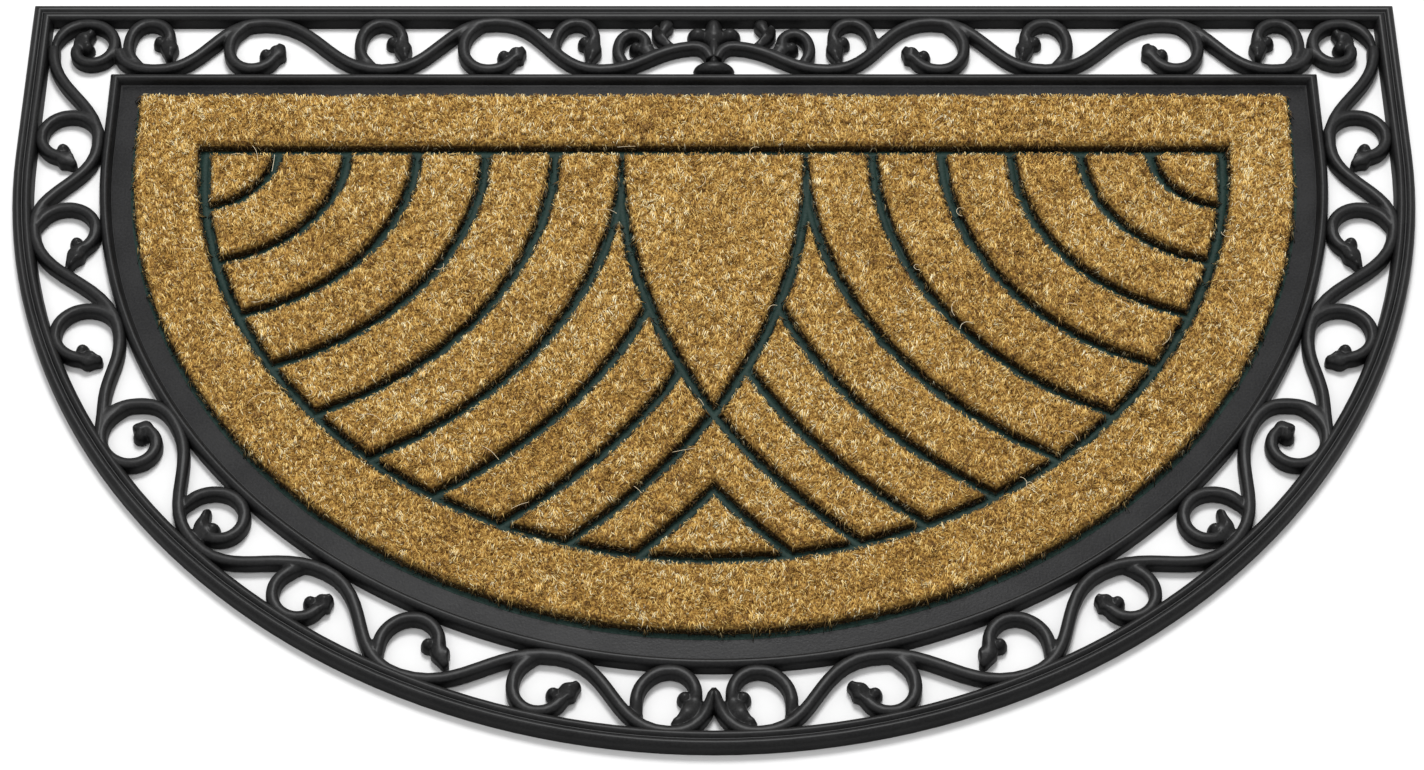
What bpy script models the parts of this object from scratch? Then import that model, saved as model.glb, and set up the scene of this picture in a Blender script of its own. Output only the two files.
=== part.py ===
"""A half round doormat: one moulded rubber base with an open scroll border, and 22 panels of coir pile.

Metres, +Z up. X runs along the straight edge, +Y points to that edge and -Y to the round one.
The origin is under the middle of the mat, on the floor. The tables give millimetres, with x
from the middle line and y measured from the straight edge towards the round one.
"""

from functools import partial
from math import atan2, cos, hypot, pi, radians, sin

import bmesh
import bpy

MM = 0.001

# The mat's outline: a straight edge, two short straight sides and a half ellipse
MAT_WIDTH = 762.0
MAT_DEPTH = 470.0
SIDE_END = 104.0  # where the straight sides turn into the half ellipse
BORDER = 46.8  # from the outer edge to the rail, along the sides
BORDER_TOP = 48.0
BORDER_BOTTOM = 45.5

# Heights above the floor
RIM_HEIGHT = 9.2
RAIL_HEIGHT = 8.6
ROD_HEIGHT = 8.4
ROD_LIFT = 0.3
TRAY_HEIGHT = 4.5
PILE_BASE = 4.8
PILE_HEIGHT = 14.5

# The scroll rods, and the outline's share and height at each level of a boss
ROD_FOOT = 6.6
ROD_CROWN = 3.6
BOSS_SHAPE = ((1.0, ROD_LIFT), (1.0, 3.6), (0.6, ROD_HEIGHT + 0.4))

# The coir field and the grooves in it
COIR_HALF_WIDTH = 316.0
COIR_TOP = 65.5
COIR_BOTTOM = 405.5
FIELD_HALF_WIDTH = 277.5
FIELD_TOP = 103.7
FIELD_BOTTOM = 363.0
GROOVE = 5.0
PILE_ROUNDING = 2.6
# The ring grooves of each fan, measured along the straight edge from its corner
RING_RADII = (40.0, 78.2, 116.2, 153.8, 191.5, 229.5, 266.0, 300.0, 329.5, 358.0)
RING_FLATTENING = 0.96  # the rings are this much shorter towards the round edge
PETAL_RING = 8  # index of the ring that bounds the petal, drawn from the opposite corner
FIRST_SPLIT_RING = 6  # rings from this one on start at the petal's side and not at the top

# The vine that waves through the left half of the border: x, y, heading in degrees
TOP_VINE = (
    (-331.5, 31.0, -78),
    (-309.5, 44.5, 0),
    (-251.0, 11.2, 0),
    (-184.0, 44.5, 0),
    (-121.5, 10.5, 0),
    (-63.0, 44.5, 0),
    (-12.0, 26.5, 5),
    (-1.0, 35.0, -75),
)
SIDE_VINE = (
    (-367.0, 36.0, -90),
    (-337.0, 98.0, -92),
    (-366.3, 153.0, -84),
    (-315.0, 219.0, -76),
    (-318.5, 268.0, -88),
    (-316.0, 290.0, -62),
)
LOWER_VINE = (
    (-316.0, 281.0, 86),
    (-301.0, 266.5, 4),
    (-281.0, 277.0, -58),
    (-264.5, 351.5, -48),
    (-197.0, 367.5, -28),
    (-157.0, 427.5, -20),
    (-78.0, 417.0, -10),
    (-22.5, 460.0, -3),
    (0.5, 440.0, 86),
)
BRANCHES = (
    ((-24.0, 27.5, 150), (-33.0, 15.0, 120)),
    ((-29.0, 20.0, 80), (-25.5, 9.5, 85)),
)
BRANCH_WIDTHS = (0.8, 0.85, 1.05, 0.85)
# The bosses of the crest in the middle of the straight edge: name, centre x and y, half length
# along x and half width along y, number of sides
CREST = (
    ("crest_tip", 0.0, 15.5, 5.4, 8.0, 10),
    ("crest_left", -7.5, 18.5, 5.5, 4.6, 10),
    ("crest_right", 7.5, 18.5, 5.5, 4.6, 10),
    ("crest_stem", 0.0, 31.0, 3.2, 12.5, 10),
    ("crest_foot", 0.0, 43.4, 11.0, 4.6, 14),
)
# The curls: name, centre x and y, start angle and sweep in degrees, radii at even steps of the
# sweep, and the x and y of the leaf tip in which the curl ends
CURLS = (
    ("corner", -348.9, 28.5, 180, -350, (18.5, 16.3, 15.3, 11.5, 4.5), (-347.0, 20.0)),
    ("top_1", -313.7, 25.2, -90, -260, (18.5, 12.2, 13.8, 10.5), (-302.5, 38.0)),
    ("top_2", -255.7, 29.5, 90, 240, (17.5, 14.0, 14.5, 13.0), (-240.2, 26.5)),
    ("top_3", -184.4, 25.5, -90, -260, (18.5, 12.5, 14.0, 11.0), (-171.4, 38.5)),
    ("top_4", -125.0, 29.5, 90, 240, (18.5, 14.5, 15.0, 15.0), (-105.0, 30.0)),
    ("top_5", -77.0, 25.5, -120, -230, (17.0, 11.5, 14.4, 10.5), (-70.0, 39.0)),
    ("top_6", -45.3, 27.5, -100, -250, (13.5, 8.5, 9.5, 6.5), (-34.3, 31.0)),
    ("side_1", -353.3, 92.5, -20, 270, (17.0, 16.0, 15.2, 12.8), (-348.0, 111.0)),
    ("side_2", -348.3, 156.5, 180, -225, (17.5, 17.0, 16.2, 14.0), (-345.5, 179.0)),
    ("side_3", -331.0, 222.5, -10, 270, (17.0, 16.2, 17.2, 15.2), (-321.5, 239.0)),
    ("side_4", -300.0, 286.5, 90, 290, (19.5, 18.0, 16.5, 8.0), (-302.0, 281.0)),
    ("lower_1", -254.5, 337.0, 170, -275, (19.5, 16.5, 15.0, 13.5, 11.0), (-258.5, 331.0)),
    ("lower_2", -207.7, 382.0, 90, 230, (16.2, 15.5, 13.5, 11.0), (-192.2, 383.0)),
    ("lower_3", -151.5, 410.0, -160, -200, (17.5, 15.0, 15.0, 14.0), (-132.0, 421.0)),
    ("lower_4", -85.6, 434.0, 90, 235, (17.0, 14.8, 15.0, 12.5), (-69.6, 434.5)),
    ("lower_5", -22.7, 441.5, -160, -200, (17.0, 15.0, 15.2, 12.0), (-20.2, 454.5)),
)
BAND_STEPS = 36  # straight pieces round the arc of the band
VINE_STEPS = 7  # straight pieces between two knots of the vine
CURL_STEPS = 12
LEAF_SHAPE = ((-0.15, 0.7), (0.25, 1.35), (0.6, 1.15), (1.0, 0.3))  # place along it, width
LEAF_FLATTENING = 0.78
BUD_RADIUS = 3.9
BUD_SIDES = 8
BUD_REACH = 5.5  # from the end of a curl towards its middle


def clear_scene():
    for thing in list(bpy.data.objects):
        bpy.data.objects.remove(thing)


def new_collection(name):
    collection = bpy.data.collections.new(name)
    bpy.context.scene.collection.children.link(collection)
    return collection


def new_material(name, colour, roughness):
    material = bpy.data.materials.new(name)
    material.use_nodes = True
    shader = material.node_tree.nodes["Principled BSDF"]
    shader.inputs["Base Color"].default_value = (*colour, 1.0)
    shader.inputs["Roughness"].default_value = roughness
    shader.inputs["Metallic"].default_value = 0.0
    return material


def place(x, y, z=0.0):
    """A point of the tables, in the part's own metres."""
    return (x * MM, (MAT_DEPTH / 2 - y) * MM, z * MM)


def mesh_object(name, mesh, collection, material):
    made = bpy.data.objects.new(name, mesh)
    made.data.materials.append(material)
    collection.objects.link(made)
    return made


def half_round(half_width, top, bottom, inset=0.0, arc_steps=44):
    """The outline moved inwards by inset: two corners, then the half ellipse from right to left."""
    depth = bottom - SIDE_END
    points = [(-half_width + inset, top + inset), (half_width - inset, top + inset)]
    for step in range(arc_steps + 1):
        angle = pi * step / arc_steps
        across, along = half_width * cos(angle), depth * sin(angle)
        slope_x, slope_y = cos(angle) * depth, sin(angle) * half_width
        length = hypot(slope_x, slope_y)
        points.append(
            (across - inset * slope_x / length, SIDE_END + along - inset * slope_y / length)
        )
    return points


def loft(name, sections, collection, material, closed_ring=False):
    """A solid through outlines of the same number of points, each a list of points with a height.

    A closed ring joins the last section to the first one. Otherwise both ends are filled.
    """
    bm = bmesh.new()
    rings = [[bm.verts.new(place(x, y, z)) for x, y in points] for points, z in sections]
    pairs = list(zip(rings, rings[1:]))
    if closed_ring:
        pairs.append((rings[-1], rings[0]))
    for lower, upper in pairs:
        for k in range(len(lower)):
            after = (k + 1) % len(lower)
            bm.faces.new((lower[k], lower[after], upper[after], upper[k]))
    if not closed_ring:
        bm.faces.new(rings[0])
        bm.faces.new(rings[-1])
    bmesh.ops.recalc_face_normals(bm, faces=bm.faces)
    mesh = bpy.data.meshes.new(name)
    bm.to_mesh(mesh)
    bm.free()
    return mesh_object(name, mesh, collection, material)


def make_rim(collection, material):
    """The outer frame: two rounded ridges with a shallow channel between them."""
    profile = (
        (0.0, 0.0),
        (0.0, 6.4),
        (2.0, RIM_HEIGHT),
        (3.8, RIM_HEIGHT),
        (5.2, 7.9),
        (6.6, RIM_HEIGHT),
        (8.8, RIM_HEIGHT),
        (10.9, 6.8),
        (10.9, 0.0),
    )
    sections = [(half_round(MAT_WIDTH / 2, 0.0, MAT_DEPTH, inset), z) for inset, z in profile]
    return loft("rim", sections, collection, material, closed_ring=True)


def make_tray(name, collection, material):
    """The tray that carries the coir, with the raised rail round it."""
    half_width = MAT_WIDTH / 2 - BORDER
    bottom = MAT_DEPTH - BORDER_BOTTOM
    profile = (
        (0.0, 0.0),
        (0.0, 6.2),
        (2.2, RAIL_HEIGHT),
        (4.4, RAIL_HEIGHT),
        (6.6, TRAY_HEIGHT),
    )
    sections = [(half_round(half_width, BORDER_TOP, bottom, inset), z) for inset, z in profile]
    return loft(name, sections, collection, material)


def wave(knots, side, steps=VINE_STEPS, reach=0.42):
    """Points of a rod that runs smoothly through its knots, each at its own heading."""
    points = []
    for (x0, y0, turn0), (x1, y1, turn1) in zip(knots, knots[1:]):
        pull = reach * hypot(x1 - x0, y1 - y0)
        a, b = radians(turn0), radians(turn1)
        controls = (
            (x0, y0),
            (x0 + pull * cos(a), y0 - pull * sin(a)),
            (x1 - pull * cos(b), y1 + pull * sin(b)),
            (x1, y1),
        )
        for step in range(1 if points else 0, steps + 1):
            t = step / steps
            shares = ((1 - t) ** 3, 3 * t * (1 - t) ** 2, 3 * t * t * (1 - t), t**3)
            x = sum(share * point[0] for share, point in zip(shares, controls))
            y = sum(share * point[1] for share, point in zip(shares, controls))
            points.append((side * -x, y))
    return points


def radius_at(radii, t):
    """The curl's radius at t from 0 to 1, on a smooth curve through the radii."""
    place_in = t * (len(radii) - 1)
    k = min(int(place_in), len(radii) - 2)
    u = place_in - k
    b, c = radii[k], radii[k + 1]
    a = radii[k - 1] if k else 2 * b - c
    d = radii[k + 2] if k + 2 < len(radii) else 2 * c - b
    return 0.5 * (
        2 * b + (c - a) * u + (2 * a - 5 * b + 4 * c - d) * u * u + (3 * b - a - 3 * c + d) * u**3
    )


def curl(centre_x, centre_y, start, sweep, radii, side, steps=CURL_STEPS):
    points = []
    for step in range(steps + 1):
        t = step / steps
        radius = radius_at(radii, t)
        angle = radians(start + sweep * t)
        points.append((side * -(centre_x + radius * cos(angle)), centre_y - radius * sin(angle)))
    return points


def rod_profile(collection):
    """The section of a rod: a flat foot, leaning sides and a flat crown."""
    height = ROD_HEIGHT - ROD_LIFT
    corners = (
        (-ROD_FOOT / 2, 0.0),
        (ROD_FOOT / 2, 0.0),
        (ROD_CROWN / 2, height),
        (-ROD_CROWN / 2, height),
    )
    curve = bpy.data.curves.new("rod_section", "CURVE")
    curve.dimensions = "2D"
    spline = curve.splines.new("POLY")
    spline.points.add(len(corners) - 1)
    for point, (across, up) in zip(spline.points, corners):
        point.co = (across * MM, up * MM, 0.0, 1.0)
    spline.use_cyclic_u = True
    section = bpy.data.objects.new("rod_section", curve)
    section.hide_render = True
    collection.objects.link(section)
    return section


def to_mesh_object(thing, collection, material):
    """The curve as a closed mesh object, in place of the curve."""
    bpy.context.view_layer.update()
    graph = bpy.context.evaluated_depsgraph_get()
    mesh = bpy.data.meshes.new_from_object(thing.evaluated_get(graph))
    bm = bmesh.new()
    bm.from_mesh(mesh)
    bmesh.ops.remove_doubles(bm, verts=bm.verts, dist=0.00001)
    bmesh.ops.recalc_face_normals(bm, faces=bm.faces)
    bm.to_mesh(mesh)
    bm.free()
    name, matrix = thing.name, thing.matrix_world.copy()
    bpy.data.objects.remove(thing)
    mesh.materials.clear()
    made = mesh_object(name, mesh, collection, material)
    made.matrix_world = matrix
    return made


def make_rod(name, points, section, collection, material, widths=None):
    """A rod with the given section along the points, thinner or wider where widths say so."""
    curve = bpy.data.curves.new(name, "CURVE")
    curve.dimensions = "2D"
    curve.fill_mode = "NONE"
    curve.bevel_mode = "OBJECT"
    curve.bevel_object = section
    curve.use_fill_caps = True
    spline = curve.splines.new("POLY")
    spline.points.add(len(points) - 1)
    for k, (x, y) in enumerate(points):
        spline.points[k].co = (*place(x, y)[:2], 0.0, 1.0)
        spline.points[k].radius = widths[k] if widths else 1.0
    rod = bpy.data.objects.new(name, curve)
    rod.location.z = ROD_LIFT * MM
    collection.objects.link(rod)
    return to_mesh_object(rod, collection, material)


def make_leaf(name, root, tip, section, collection, material):
    """The leaf in which a curl ends: widest near its root and pointed at its tip."""
    points = [
        (root[0] + share * (tip[0] - root[0]), root[1] + share * (tip[1] - root[1]))
        for share, _ in LEAF_SHAPE
    ]
    widths = [width for _, width in LEAF_SHAPE]
    leaf = make_rod(name, points, section, collection, material, widths)
    leaf.scale.z = LEAF_FLATTENING
    return leaf


def make_dome(name, x, y, half_length, half_width, sides, collection, material):
    """A low rounded boss: a ring of sides that draws in to a smaller flat crown."""
    sections = []
    for share, z in BOSS_SHAPE:
        ring = [
            (
                x + share * half_length * cos(2 * pi * k / sides),
                y + share * half_width * sin(2 * pi * k / sides),
            )
            for k in range(sides)
        ]
        sections.append((ring, z))
    return loft(name, sections, collection, material)


def make_lattice(section, collection, material):
    """Every rod, leaf and boss of the open border, on both halves."""
    for side, label in ((1, "right"), (-1, "left")):
        for part, knots in (("top", TOP_VINE), ("side", SIDE_VINE), ("lower", LOWER_VINE)):
            make_rod(f"vine_{part}_{label}", wave(knots, side), section, collection, material)
        for name, x, y, start, sweep, radii, tip in CURLS:
            points = curl(x, y, start, sweep, radii, side)
            make_rod(f"curl_{name}_{label}", points, section, collection, material)
            end = points[-1]
            leaf_tip = (side * -tip[0], tip[1])
            make_leaf(f"leaf_{name}_{label}", end, leaf_tip, section, collection, material)
            inward = BUD_REACH / hypot(side * -x - end[0], y - end[1])
            bud = (end[0] + inward * (side * -x - end[0]), end[1] + inward * (y - end[1]))
            size = (BUD_RADIUS, BUD_RADIUS, BUD_SIDES)
            make_dome(f"bud_{name}_{label}", *bud, *size, collection, material)
        for k, knots in enumerate(BRANCHES):
            points = wave(knots, side, steps=len(BRANCH_WIDTHS) - 1)
            make_rod(f"branch_{k}_{label}", points, section, collection, material, BRANCH_WIDTHS)
    for boss in CREST:
        make_dome(*boss, collection, material)


def make_base(collection, guides, material):
    """The rubber moulding: tray and rail, with the rim and the lattice joined on."""
    base = make_tray("rubber_base", collection, material)
    make_rim(guides, material)
    section = rod_profile(guides)
    make_lattice(section, guides, material)
    for guide in guides.objects:
        guide.hide_render = True
        guide.display_type = "WIRE"
    bpy.data.objects.remove(section)
    join = base.modifiers.new("lattice", "BOOLEAN")
    join.operation = "UNION"
    join.operand_type = "COLLECTION"
    join.collection = guides
    join.solver = "EXACT"
    return base


def field_edge(inset):
    """Half width and depth of the half ellipse round the fans, moved inwards by inset."""
    return FIELD_HALF_WIDTH - inset, FIELD_BOTTOM - FIELD_TOP - inset


def ring_point(radius, angle, corner_side):
    """A point on a ring of the fan in the left (-1) or right (1) corner, angle from the top line."""
    return (
        corner_side * (FIELD_HALF_WIDTH - radius * cos(angle)),
        FIELD_TOP + RING_FLATTENING * radius * sin(angle),
    )


def crossing(inside, low, high):
    """The angle between low and high where inside turns from true to false."""
    for _ in range(40):
        middle = (low + high) / 2
        low, high = (middle, high) if inside(middle) else (low, middle)
    return low


def in_field(point, inset):
    half_width, depth = field_edge(inset)
    return (point[0] / half_width) ** 2 + ((point[1] - FIELD_TOP) / depth) ** 2 <= 1.0


def ring_distance(point, corner_side):
    """How far a point is from a fan's corner, in the rings' own flattened measure."""
    across = point[0] - corner_side * FIELD_HALF_WIDTH
    return hypot(across, (point[1] - FIELD_TOP) / RING_FLATTENING)


def strip_span(radius, gap, split):
    """The first and last angle of a strip's edge at this radius, in the left fan."""
    last = crossing(lambda a: in_field(ring_point(radius, a, -1), gap), 0.0, pi / 2)
    top_line = atan2(gap, radius)
    if not split:
        return top_line, last
    petal = RING_RADII[PETAL_RING] + gap
    first = crossing(lambda a: ring_distance(ring_point(radius, a, -1), 1) < petal, 0.0, last)
    return max(first, top_line), last


def strip_outline(number, gap, steps=9):
    """The outline of a fan's strip, a groove's half width inside its two rings."""
    inner = RING_RADII[number - 1] + gap if number else 0.0
    outer = RING_RADII[number] - gap
    split = number >= FIRST_SPLIT_RING
    if not number:
        first, last = strip_span(outer, gap, split)
        arc = [
            ring_point(outer, first + (last - first) * k / steps, -1) for k in range(steps + 1)
        ]
        corner = [(-field_edge(gap)[0] + 0.02 * outer, FIELD_TOP + gap)]
        return arc + corner
    near = []
    far = []
    ends_first = []
    ends_last = []
    for k in range(steps + 1):
        share = k / steps
        for radius, arc in ((inner, near), (outer, far)):
            first, last = strip_span(radius, gap, split)
            arc.append(ring_point(radius, first + (last - first) * share, -1))
    for share in (1 / 3, 2 / 3):
        radius = inner + (outer - inner) * share
        first, last = strip_span(radius, gap, split)
        ends_first.append(ring_point(radius, first, -1))
        ends_last.append(ring_point(radius, last, -1))
    return near + ends_last + far[::-1] + ends_first[::-1]


def arc_of_ring(radius, first, last, steps):
    """Points on a ring of the right fan from one angle to another."""
    return [ring_point(radius, first + (last - first) * k / steps, 1) for k in range(steps + 1)]


def middle_angle(radius):
    """The angle at which a ring of the right fan comes back to the middle line."""
    return crossing(lambda a: ring_point(radius, a, 1)[0] < 0.0, 0.0, pi / 2)


def petal_outline(gap, steps=9):
    """The panel between the two crossing rings, pointed towards the round edge."""
    radius = RING_RADII[PETAL_RING] - gap
    left = arc_of_ring(radius, atan2(gap, radius), middle_angle(radius), steps)
    return left[:-1] + [(0.0, left[-1][1])] + mirrored(left[:-1])


def arch_leg(ring, ring_gap, edge_gap, steps=6):
    """The right leg of a pointed arch of two rings, from its peak down to the field's edge."""
    radius = RING_RADII[ring] + ring_gap
    peak = middle_angle(radius)
    foot = crossing(lambda a: in_field(ring_point(radius, a, 1), edge_gap), peak, pi / 2)
    return arc_of_ring(radius, peak, foot, steps)


def edge_between(start, end, gap, steps):
    """Points on the field's edge strictly between two points on it."""
    half_width, depth = field_edge(gap)
    first = atan2((start[1] - FIELD_TOP) / depth, start[0] / half_width)
    last = atan2((end[1] - FIELD_TOP) / depth, end[0] / half_width)
    return [
        (
            half_width * cos(first + (last - first) * k / steps),
            FIELD_TOP + depth * sin(first + (last - first) * k / steps),
        )
        for k in range(1, steps)
    ]


def mirrored(points):
    return [(-x, y) for x, y in reversed(points)]


def chevron_outline(gap):
    """The bent strip below the crossing, between the petal's rings and the last ones."""
    upper = arch_leg(PETAL_RING, gap, gap)
    lower = arch_leg(PETAL_RING + 1, -gap, gap)
    foot = edge_between(upper[-1], lower[-1], gap, 3)
    right = upper[1:] + foot + lower[:0:-1]
    return [upper[0]] + right + [lower[0]] + mirrored(right)


def triangle_outline(gap):
    upper = arch_leg(PETAL_RING + 1, gap, gap, steps=4)
    foot = edge_between(upper[-1], mirrored(upper)[0], gap, 6)
    return upper + foot + mirrored(upper[1:])


def make_panel(name, outline, collection, material, side=1):
    """A coir panel: upright sides, then a rounded shoulder up to a flat crown.

    outline gives the panel's points for a distance from the middle of the grooves round it.
    """
    shoulder = (
        (GROOVE / 2, PILE_BASE),
        (GROOVE / 2, PILE_HEIGHT - PILE_ROUNDING),
        (GROOVE / 2 + PILE_ROUNDING, PILE_HEIGHT),
    )
    sections = [([(side * x, y) for x, y in outline(gap)], z) for gap, z in shoulder]
    return loft(name, sections, collection, material)


def make_band(collection, material):
    """The D-shaped band of coir round the field, with its own rounded shoulders."""

    def outer(inset):
        return half_round(COIR_HALF_WIDTH, COIR_TOP, COIR_BOTTOM, inset, BAND_STEPS)

    def inner(inset):
        half_width, depth = field_edge(-inset)
        points = [(-half_width, FIELD_TOP - inset), (half_width, FIELD_TOP - inset)]
        for step in range(BAND_STEPS + 1):
            angle = pi * step / BAND_STEPS
            points.append((half_width * cos(angle), FIELD_TOP + depth * sin(angle)))
        return points

    low, high = PILE_HEIGHT - PILE_ROUNDING, PILE_HEIGHT
    gap = GROOVE / 2
    sections = (
        (outer(0.0), PILE_BASE),
        (outer(0.0), low),
        (outer(PILE_ROUNDING), high),
        (inner(gap + PILE_ROUNDING), high),
        (inner(gap), low),
        (inner(gap), PILE_BASE),
    )
    return loft("coir_band", sections, collection, material, closed_ring=True)


def make_coir(collection, material):
    make_band(collection, material)
    for number in range(PETAL_RING + 1):
        outline = partial(strip_outline, number)
        make_panel(f"coir_left_{number + 1}", outline, collection, material)
        make_panel(f"coir_right_{number + 1}", outline, collection, material, side=-1)
    make_panel("coir_petal", petal_outline, collection, material)
    make_panel("coir_chevron", chevron_outline, collection, material)
    make_panel("coir_triangle", triangle_outline, collection, material)


def main():
    clear_scene()
    doormat = new_collection("half_round_doormat")
    guides = new_collection("cutters")
    guides.hide_render = True
    rubber = new_material("rubber", (0.022, 0.024, 0.025), 0.55)
    coir = new_material("coir", (0.50, 0.32, 0.12), 0.9)
    make_base(doormat, guides, rubber)
    make_coir(doormat, coir)


main()
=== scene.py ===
# %% [markdown]
# # A half round doormat of moulded rubber and coir
#
# The mat is one flat rubber moulding. Its border is an open scroll of round-topped rods, held
# between an outer rim and an inner rail, and its middle is a shallow tray. Panels of stiff coir
# pile stand in the tray, parted by narrow grooves, and make a fan pattern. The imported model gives
# the solids. This lesson dresses them: the rubber is modelled again with rounded forms, and each
# panel gets its fibres.

from math import atan2, cos, hypot, pi, radians, sin

import bpy
import numpy as np
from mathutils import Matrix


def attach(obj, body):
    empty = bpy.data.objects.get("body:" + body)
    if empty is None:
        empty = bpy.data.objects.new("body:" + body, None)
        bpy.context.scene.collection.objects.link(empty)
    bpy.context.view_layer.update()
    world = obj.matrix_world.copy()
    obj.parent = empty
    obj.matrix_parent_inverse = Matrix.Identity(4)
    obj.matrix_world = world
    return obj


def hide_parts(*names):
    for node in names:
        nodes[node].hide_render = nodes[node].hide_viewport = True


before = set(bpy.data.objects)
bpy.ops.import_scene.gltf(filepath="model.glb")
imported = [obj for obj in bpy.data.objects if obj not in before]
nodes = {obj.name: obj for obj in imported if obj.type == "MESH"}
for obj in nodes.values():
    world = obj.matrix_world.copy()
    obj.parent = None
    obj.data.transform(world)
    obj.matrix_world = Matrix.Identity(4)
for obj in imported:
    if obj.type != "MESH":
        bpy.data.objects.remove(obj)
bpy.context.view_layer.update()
MM = 0.001

# %% [markdown]
# ## Sizes
#
# The sizes are the model's own, in millimetres, with x from the middle line and y counted from the
# straight edge towards the round one. A table in those numbers is easy to check against the real
# mat, and one function turns them into Blender's metres.

# %% Name the sizes of the mat
MAT_WIDTH = 762.0
MAT_DEPTH = 470.0
SIDE_END = 104.0  # the straight sides turn into the half ellipse here
RAIL_HALF_WIDTH = 334.2
RAIL_TOP = 48.0
RAIL_BOTTOM = 424.5
TRAY_HEIGHT = 4.5
ROD_LIFT = 0.3
ROD_HEIGHT = 8.5
ROD_WIDTH = 6.6
FIELD_HALF_WIDTH = 277.5
FIELD_TOP = 103.7
FIELD_BOTTOM = 363.0
GROOVE = 5.0
RING_RADII = (40.0, 78.2, 116.2, 153.8, 191.5, 229.5, 266.0, 300.0, 329.5, 358.0)
RING_FLATTENING = 0.96
PETAL_RING = 8  # counted from 0; this ring is the petal's edge
PILE_TOP = 14.5


def place(x, y, z=0.0):
    """A point of the tables in Blender's metres."""
    return (x * MM, (MAT_DEPTH / 2 - y) * MM, z * MM)


def start_with_nothing_selected():
    if bpy.context.mode != "OBJECT":
        bpy.ops.object.mode_set(mode="OBJECT")
    bpy.ops.object.select_all(action="DESELECT")


def pick(piece):
    """Makes piece the one selected and active object."""
    start_with_nothing_selected()
    piece.select_set(True)
    bpy.context.view_layer.objects.active = piece


def edit(piece):
    """Opens piece in edit mode with all of it selected."""
    pick(piece)
    bpy.ops.object.mode_set(mode="EDIT")
    bpy.ops.mesh.select_all(action="SELECT")


def stop_editing():
    bpy.ops.object.mode_set(mode="OBJECT")


def add_object(name, data):
    """A new object in the scene that shows the given mesh, curve, camera or lamp."""
    made = bpy.data.objects.new(name, data)
    bpy.context.scene.collection.objects.link(made)
    return made


def give(piece, *materials):
    """Makes these the piece's only materials."""
    piece.data.materials.clear()
    for material in materials:
        piece.data.materials.append(material)


print(f"mat {MAT_WIDTH:.0f} x {MAT_DEPTH:.0f} mm, {len(RING_RADII)} rings in each fan")

# %% [markdown]
# ## Camera
#
# The photo looks at the mat from its round side, from high up and through a long lens, so the far
# edge is only a little narrower than the near one. The lens and the height were worked out from
# the mat's outline. The camera sits over the middle line and only tips downwards.

# %% Place the camera
CAMERA_PLACE = (-0.001, -1.0975, 1.6244)
CAMERA_TILT = 33.66  # degrees from straight down
CAMERA_LENS = 93.94

camera_data = bpy.data.cameras.new("camera")
camera_data.lens = CAMERA_LENS
camera_data.sensor_width = 36.0
camera = add_object("camera", camera_data)
camera.location = CAMERA_PLACE
camera.rotation_euler = (radians(CAMERA_TILT), 0.0, 0.0)
bpy.context.scene.camera = camera
print(f"camera at {CAMERA_PLACE}, lens {CAMERA_LENS} mm")

# %% [markdown]
# ## Shader groups
#
# Three effects are shared by several finishes: a fine moulded grain, broad patches of a slightly
# different tone, and painted shade that darkens the pile lower down between the fibres.
# Each is a node group with named sockets, so a material only says how strong and how large it wants
# the effect.


# %% Build the shared node groups
def new_group(name, inputs, outputs):
    """An empty shader group with float inputs (name, value) and float outputs."""
    group = bpy.data.node_groups.new(name, "ShaderNodeTree")
    for socket, value in inputs:
        made = group.interface.new_socket(socket, in_out="INPUT", socket_type="NodeSocketFloat")
        made.default_value = value
    for socket in outputs:
        group.interface.new_socket(socket, in_out="OUTPUT", socket_type="NodeSocketFloat")
    return group, group.nodes.new("NodeGroupInput"), group.nodes.new("NodeGroupOutput")


def noise_node(tree, detail, roughness=0.5):
    """Noise that stays fixed to the piece it is on."""
    place_on = tree.nodes.new("ShaderNodeTexCoord")
    noise = tree.nodes.new("ShaderNodeTexNoise")
    noise.inputs["Detail"].default_value = detail
    noise.inputs["Roughness"].default_value = roughness
    tree.links.new(place_on.outputs["Object"], noise.inputs["Vector"])
    return noise


def math_node(tree, operation, *values):
    """A math node on values that are each a socket or a number."""
    node = tree.nodes.new("ShaderNodeMath")
    node.operation = operation
    for k, value in enumerate(values):
        if isinstance(value, float):
            node.inputs[k].default_value = value
        else:
            tree.links.new(value, node.inputs[k])
    return node.outputs[0]


def build_patches():
    """Soft patches: 0.5 on average, spread by Strength, about 1/Scale metres across."""
    inputs = [("Scale", 20.0), ("Strength", 1.0)]
    group, given, result = new_group("Tone patches", inputs, ["Value"])
    noise = noise_node(group, detail=3.0)
    group.links.new(given.outputs["Scale"], noise.inputs["Scale"])
    centred = math_node(group, "SUBTRACT", noise.outputs["Fac"], 0.5)
    spread = math_node(group, "MULTIPLY_ADD", centred, given.outputs["Strength"], 0.5)
    group.links.new(spread, result.inputs["Value"])
    return group


def build_grain():
    """A fine pebbled height for moulded rubber."""
    group, given, result = new_group("Moulded grain", [("Scale", 1500.0)], ["Height"])
    noise = noise_node(group, detail=4.0, roughness=0.6)
    group.links.new(given.outputs["Scale"], noise.inputs["Scale"])
    group.links.new(noise.outputs["Fac"], result.inputs["Height"])
    return group


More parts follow.
